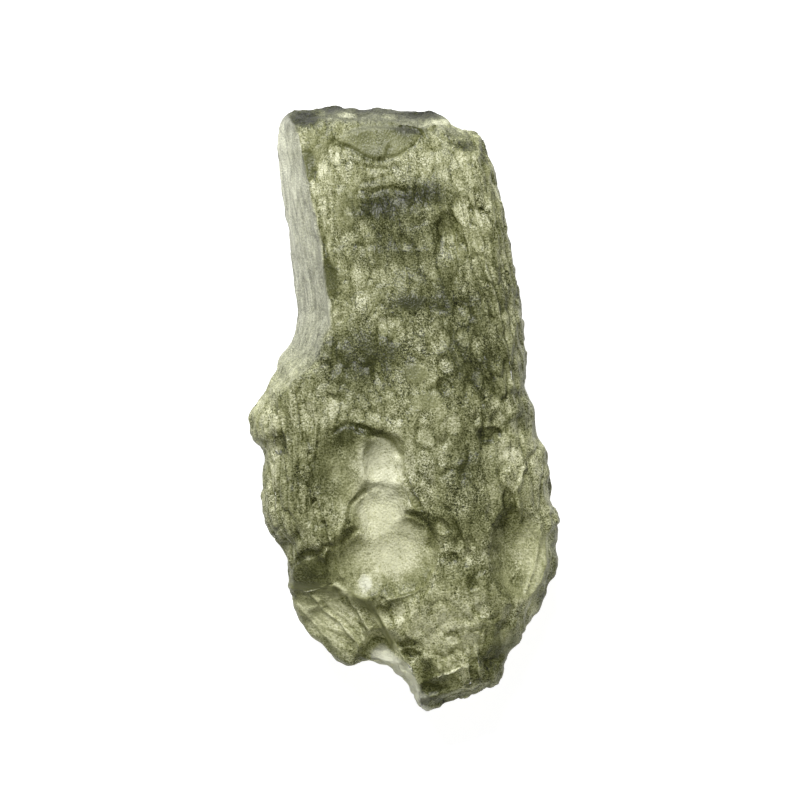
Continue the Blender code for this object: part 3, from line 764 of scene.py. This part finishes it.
# all the painted light and shade in stops, together with the glass's own tone: spots, cells, pits and
# creases, ridges and grooves, less the painted shade on steep walls and lips
stops = painted_tone_light_and_shade() + cell_tone_light_and_shade + PIT_LIGHT_CREASE_SHADE_STOPS * pit_light_crease_shade + STREAK_HIGHLIGHT_AND_SHADE * streaks - painted_shade
# the tone kept for the glass: its own tone together with all the painted light and shade above
write_layer("tone", 1.0 - np.exp(-PLAIN_SHADE * 2.0 ** stops))
write_layer("frost", frost)
write_layer("grainy", calm * (1.0 - GRAIN_LOST_IN_FROST * frost) * (1.0 - GRAIN_LOST_IN_BOWLS * bowls))
stone.data.attributes.new("flow", "FLOAT_VECTOR", "POINT").data.foreach_set("vector", flow.ravel())
thin_out = stone.modifiers.new("thin_out", "DECIMATE")
thin_out.ratio = KEPT_FACES
settle(stone)
stone.data.shade_smooth()


# The glass. Olive green and see-through, with a matt skin where the acid etched it. Its shade comes
# from the tone and the painted light and shade kept in the mesh, with fine grains along the flow, and
# more depth makes it darker.
class Tint:
    """A value or colour that varies over the stone, worked out by shader nodes."""

    def __init__(self, tree, socket=None):
        self.tree = tree
        self.socket = socket

    def node(self, kind, settings=None, inputs=None, output=0):
        """Adds a node with its settings, then the values or links of its sockets."""
        made = self.tree.nodes.new(kind)
        for name, value in (settings or {}).items():
            if name == "stops":
                stops = made.color_ramp.elements
                while len(stops) < len(value):
                    stops.new(0.5)
                for stop, (share, colour) in zip(stops, value):
                    stop.position = share
                    stop.color = (*colour, 1.0)
            else:
                setattr(made, name, value)
        for name, value in (inputs or {}).items():
            if isinstance(value, Tint):
                self.tree.links.new(value.socket, made.inputs[name])
            else:
                made.inputs[name].default_value = value
        return Tint(self.tree, made.outputs[output])

    def layer(self, name, output="Fac"):
        """What the mesh keeps for each point under a name."""
        return self.node("ShaderNodeAttribute", {"attribute_name": name}, output=output)

    def maths(self, operation, first, second):
        return self.node("ShaderNodeMath", {"operation": operation}, {0: first, 1: second})

    def grain(self, place, scale, detail):
        """Soft noise about a middle of 0.5, with so many grains to each unit of the place."""
        finer = self.node("ShaderNodeVectorMath", {"operation": "MULTIPLY"}, {0: place, 1: scale})
        return self.node("ShaderNodeTexNoise", None, {"Vector": finer, "Scale": 1.0, "Detail": detail})

    def __add__(self, other):
        return self.maths("ADD", self, other)

    def __sub__(self, other):
        return self.maths("SUBTRACT", self, other)

    def __rsub__(self, other):
        return self.maths("SUBTRACT", other, self)

    def __mul__(self, other):
        return self.maths("MULTIPLY", self, other)

    __radd__ = __add__
    __rmul__ = __mul__


GLASS_SHADES = [
    # how light the shade is, then its colour
    (0.0, (0.002, 0.003, 0.0003)),
    (0.2, (0.07, 0.077, 0.017)),
    (0.45, (0.35, 0.36, 0.175)),
    (0.75, (0.7, 0.703, 0.46)),
    (1.0, (0.98, 0.98, 0.72)),
]
MATT_WHITE = (0.99, 1.0, 0.82)
CLEARNESS = 0.65
GLASS_IOR = 1.49
ROUGHNESS = 0.48
FROST_ROUGHNESS = 0.12
DEPTH_COLOUR = (0.63, 0.63, 0.45, 1)
DEPTH_DENSITY = 380.0
# how many grains to a millimetre across the flow, along it and up, then how much finer detail they have
GRIT = ((9.0, 5.5, 7.0), 1.0)
PATCH = ((1.1, 0.5, 0.9), 2.0)
FLECK = ((4.0, 2.2, 3.4), 1.0)
FIBRE = ((5.0, 0.5, 3.0), 2.0)
SAND = ((13.0, 10.0, 11.0), 1.0)
NOISE_MIDDLE = 0.5
GRIT_HEIGHT = 0.06 * MM
# the crinkles are thin lines where the grit crosses its middle, stronger in patches, and the sand,
# flecks and fibres are added to the shade
CRINKLE_SHARPNESS = 16.0
CRINKLE_MEAN = 0.2
CRINKLE_CONTRAST = 1.1
CRINKLE_SHADE = 0.2
PATCH_FROM = 0.38
PATCH_SHARPNESS = 3.5
PATCH_LEAST = 0.1
SAND_CONTRAST = 1.9
FLECK_CONTRAST = 0.6
FIBRE_CONTRAST = 0.8
SAND_SHADE = 0.36
SHADE_LIFT = 0.03
# how milky the frosted skin is for its tone and painted light, and at most
MILKINESS = 1.5
MILKY_FIBRES = 1.2
MILKIEST = 0.98


def moldavite_glass():
    """Olive glass whose shade follows the tone and the painted light and shade kept in the mesh, with grains
    along the flow.
    """
    material = bpy.data.materials.new("moldavite_glass")
    material.use_nodes = True
    tree = material.node_tree
    tree.nodes.clear()
    glass = Tint(tree)
    flow = glass.layer("flow", "Vector")
    tone = glass.layer("tone")
    frost = glass.layer("frost")
    grainy = glass.layer("grainy")
    grit = glass.grain(flow, *GRIT)
    patch = glass.grain(flow, *PATCH)
    fleck = glass.grain(flow, *FLECK) - NOISE_MIDDLE
    fibre = glass.grain(flow, *FIBRE) - NOISE_MIDDLE
    sand = glass.grain(flow, *SAND) - NOISE_MIDDLE
    off_line = glass.maths("ABSOLUTE", grit - NOISE_MIDDLE, 0.0)
    crinkle = glass.maths("MAXIMUM", 1.0 - CRINKLE_SHARPNESS * off_line, 0.0) - CRINKLE_MEAN
    etched = grainy * glass.maths("MAXIMUM", PATCH_SHARPNESS * (patch - PATCH_FROM), PATCH_LEAST)
    specks = SAND_CONTRAST * sand + FLECK_CONTRAST * fleck + FIBRE_CONTRAST * fibre
    speckle = 1.0 + CRINKLE_CONTRAST * etched * crinkle + grainy * specks
    grains = grainy * (SAND_SHADE * sand + SHADE_LIFT)
    shade = tone * speckle + grains + CRINKLE_SHADE * etched * crinkle
    olive = glass.node("ShaderNodeValToRGB", {"stops": GLASS_SHADES}, {0: shade})
    milk = glass.maths("MINIMUM", MILKINESS * tone * (speckle + MILKY_FIBRES * fibre), MILKIEST)
    matt = glass.node("ShaderNodeVectorMath", {"operation": "SCALE"}, {0: MATT_WHITE, "Scale": milk})
    tint = glass.node("ShaderNodeMix", {"data_type": "RGBA"}, {0: frost, 6: olive, 7: matt}, output=2)
    skin = glass.node("ShaderNodeBump", None, {"Height": grit, "Strength": 1.0, "Distance": GRIT_HEIGHT})
    shader = tree.nodes.new("ShaderNodeBsdfPrincipled")
    shader.inputs["Transmission Weight"].default_value = CLEARNESS
    shader.inputs["IOR"].default_value = GLASS_IOR
    shader.inputs["Specular IOR Level"].default_value = 0.0
    tree.links.new(tint.socket, shader.inputs["Base Color"])
    tree.links.new((ROUGHNESS + FROST_ROUGHNESS * frost).socket, shader.inputs["Roughness"])
    tree.links.new(skin.socket, shader.inputs["Normal"])
    depth = tree.nodes.new("ShaderNodeVolumeAbsorption")
    depth.inputs["Color"].default_value = DEPTH_COLOUR
    depth.inputs["Density"].default_value = DEPTH_DENSITY
    output = tree.nodes.new("ShaderNodeOutputMaterial")
    tree.links.new(shader.outputs["BSDF"], output.inputs["Surface"])
    tree.links.new(depth.outputs["Volume"], output.inputs["Volume"])
    return material


stone.data.materials.append(moldavite_glass())
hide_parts("moldavite")
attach(stone, "root")

# The table and the light. The stone lies on a plain white surface under soft studio light, and the
# camera looks straight down on it.
# lengths are in metres, or in mm for the lens and its sensor, and the lamp's power is in watts
TABLE_SIDE = 3.0
TABLE_GAP = 0.05 * MM
TABLE_GREY = (0.35, 0.35, 0.35, 1)
TABLE_ROUGHNESS = 0.9
TABLE_GLOW = 0.92
WHITE = (1, 1, 1, 1)
KEY_PLACE = (-0.1, 0.36, 0.3)
KEY_SIDE = 0.22
KEY_POWER = 5.7
ROOM_LIGHT = 0.2
CAMERA_LENS = 200.0
CAMERA_SENSOR = 36.0
CAMERA_NEAREST = 0.01
STONE_MIDDLE_HEIGHT = 3 * MM
PICTURE_SIDE_PX = 800
PICTURE_MIDDLE_PX = 400


def white_table():
    board = bmesh.new()
    bmesh.ops.create_grid(board, x_segments=1, y_segments=1, size=TABLE_SIDE / 2)
    bmesh.ops.translate(board, verts=board.verts, vec=(0, 0, -TABLE_GAP))
    mesh = bpy.data.meshes.new("white_table")
    board.to_mesh(mesh)
    board.free()
    table = bpy.data.objects.new("white_table", mesh)
    bpy.context.scene.collection.objects.link(table)
    material = bpy.data.materials.new("white_board")
    material.use_nodes = True
    shader = material.node_tree.nodes["Principled BSDF"]
    shader.inputs["Base Color"].default_value = TABLE_GREY
    shader.inputs["Roughness"].default_value = TABLE_ROUGHNESS
    shader.inputs["Emission Color"].default_value = WHITE
    shader.inputs["Emission Strength"].default_value = TABLE_GLOW
    mesh.materials.append(material)


def soft_box(name, place, aim, side, power):
    lamp = bpy.data.lights.new(name, "AREA")
    lamp.shape = "SQUARE"
    lamp.size = side
    lamp.energy = power
    box = bpy.data.objects.new(name, lamp)
    box.location = place
    box.rotation_euler = (Vector(aim) - Vector(place)).to_track_quat("-Z", "Y").to_euler()
    bpy.context.scene.collection.objects.link(box)


def studio():
    white_table()
    soft_box("key_box", KEY_PLACE, (0, 0, 0), KEY_SIDE, KEY_POWER)
    scene = bpy.context.scene
    scene.world = bpy.data.worlds.new("studio")
    scene.world.use_nodes = True
    background = scene.world.node_tree.nodes["Background"]
    background.inputs["Color"].default_value = WHITE
    background.inputs["Strength"].default_value = ROOM_LIGHT
    scene.view_settings.view_transform = "Standard"


def camera():
    lens = bpy.data.cameras.new("overhead")
    lens.lens = CAMERA_LENS
    lens.sensor_width = CAMERA_SENSOR
    lens.clip_start = CAMERA_NEAREST
    overhead = bpy.data.objects.new("overhead", lens)
    away = PICTURE_SIDE_PX * PX * CAMERA_LENS / CAMERA_SENSOR
    overhead.location = (
        (PICTURE_MIDDLE_PX - STONE_MIDDLE_PX[0]) * PX,
        (STONE_MIDDLE_PX[1] - PICTURE_MIDDLE_PX) * PX,
        away + STONE_MIDDLE_HEIGHT,
    )
    bpy.context.scene.collection.objects.link(overhead)
    bpy.context.scene.camera = overhead


studio()
camera()
